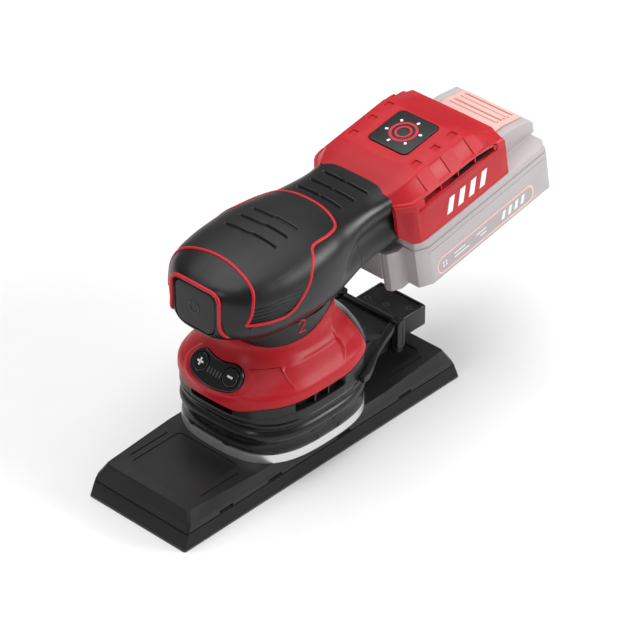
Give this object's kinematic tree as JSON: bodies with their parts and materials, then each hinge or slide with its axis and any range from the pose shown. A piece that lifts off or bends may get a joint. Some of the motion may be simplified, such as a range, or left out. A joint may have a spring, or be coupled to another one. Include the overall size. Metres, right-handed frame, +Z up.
{
  "type": "detail mouse sander",
  "caption": "Cordless palm sander with a long rectangular pad that circles under a round motor base, a slide-on battery and a dust outlet.",
  "frame": {"origin": "centre of the lower face of the pad, where the abrasive sheet is held", "axes": "+Z up out of the work, +Y along the pad towards the battery, +X to the side"},
  "size_m": [0.0856, 0.2815, 0.1475],
  "materials": {
    "red_shell": "satin moulded red plastic with fine texture",
    "black_shell": "satin black moulded plastic",
    "soft_grip": "soft-touch black rubber",
    "button_black": "fine grained black plastic",
    "keypad_black": "glossy black keypad",
    "lamp_clear": "smoked light guides",
    "boot_rubber": "moulded black rubber, semi-gloss",
    "pad_plastic": "textured black plastic",
    "pad_foam": "firm closed-cell foam",
    "hook_facing": "hook-and-loop facing",
    "cast_aluminium": "turned rim, cast underside",
    "steel": "ground and turned steel",
    "zinc_screw": "dark zinc-plated fasteners",
    "copper_wire": "lacquered copper winding",
    "magnet": "nickel-plated magnets",
    "fan_plastic": "glass-filled plastic",
    "board_green": "lacquered circuit board",
    "component_black": "moulded components",
    "lead_insulation": "silicone wire insulation",
    "badge_grey": "dark grey badge plate",
    "pack_grey": "pale grey battery plastic",
    "pack_pink": "pale pink release button",
    "pack_label": "printed label plate",
    "cell_can": "shrink-wrapped cells",
    "contact_copper": "plated contacts",
    "duct_plastic": "textured black plastic"
  },
  "bodies": {
    "housing": {"head_shell_left": "black_shell", "head_shell_right": "black_shell", "palm_pad": "soft_grip", "switch_bezel": "red_shell", "switch_board": "board_green", "collar": "black_shell", "base_shroud": "red_shell", "rear_housing": "black_shell", "vent_ring": "black_shell", "boot": "boot_rubber", "guide_posts": "boot_rubber", "keypad_frame": "keypad_black", "level_lights": "lamp_clear", "keypad_board": "board_green", "motor_stator": "steel", "stator_windings": "copper_wire", "motor_sleeve": "fan_plastic", "lower_bearing": "steel", "upper_bearing": "steel", "motor_carrier": "cast_aluminium", "carrier_screws": "zinc_screw", "bearing_bridge": "cast_aluminium", "wire_leads": "lead_insulation", "case_screws": "zinc_screw", "electronics_tray": "cast_aluminium", "control_board": "board_green", "board_parts": "component_black", "rear_cover": "red_shell", "badge_plate": "badge_grey", "battery_dock": "black_shell", "contact_blades": "contact_copper", "dust_duct": "duct_plastic"},
    "rotor": {"motor_shaft": "steel", "eccentric_hub": "steel", "hub_screw": "zinc_screw", "counterweight": "steel", "cooling_fan": "fan_plastic", "rotor_core": "steel", "rotor_magnets": "magnet"},
    "pad": {"hook_layer": "hook_facing", "foam_layer": "pad_foam", "top_plate": "pad_plastic", "pad_screws": "zinc_screw", "pad_base": "cast_aluminium", "pad_bearing": "steel"},
    "power_button": {"power_button": "button_black"},
    "plus_key": {"plus_key": "keypad_black"},
    "minus_key": {"minus_key": "keypad_black"},
    "battery": {"pack_lower": "pack_grey", "pack_upper": "pack_grey", "battery_terminals": "contact_copper", "battery_cells": "cell_can", "cell_holder": "component_black", "battery_board": "board_green", "battery_screws": "zinc_screw", "battery_labels": "pack_label", "latch_spring": "steel"},
    "release_latch": {"release_button": "pack_pink"},
    "adapter": {"dust_adapter": "duct_plastic", "adapter_screws": "zinc_screw"}
  },
  "joints": [
    {"name": "rotor_spin", "type": "hinge", "parent": "housing", "child": "rotor", "pos_m": [0, -0.004, 0.08], "axis": [0, 0, 1], "continuous": true},
    {"name": "pad_orbit", "type": "hinge", "parent": "rotor", "child": "pad", "pos_m": [0, -0.003, 0.026], "axis": [0, 0, 1], "continuous": true},
    {"name": "power_press", "type": "slide", "parent": "housing", "child": "power_button", "axis": [0, 1, 0], "range_m": [0, 0.0015], "stiffness_N_per_m": 1500},
    {"name": "plus_press", "type": "slide", "parent": "housing", "child": "plus_key", "axis": [0, 0.6691, -0.7431], "range_m": [0, 0.0006], "stiffness_N_per_m": 1200},
    {"name": "minus_press", "type": "slide", "parent": "housing", "child": "minus_key", "axis": [0, 0.6691, -0.7431], "range_m": [0, 0.0006], "stiffness_N_per_m": 1200},
    {"name": "battery_slide", "type": "slide", "parent": "housing", "child": "battery", "axis": [0, 0.9848, 0.1736], "range_m": [0, 0.1]},
    {"name": "latch_press", "type": "slide", "parent": "battery", "child": "release_latch", "axis": [0, 0.1736, -0.9848], "range_m": [0, 0.0025], "stiffness_N_per_m": 1200, "deforming": ["latch_spring"]},
    {"name": "adapter_pull", "type": "slide", "parent": "housing", "child": "adapter", "axis": [0, 1, 0], "range_m": [0, 0.03]}
  ],
  "couplings": [
    {"joint": "pad_orbit", "follows": "rotor_spin", "ratio": -1}
  ]
}
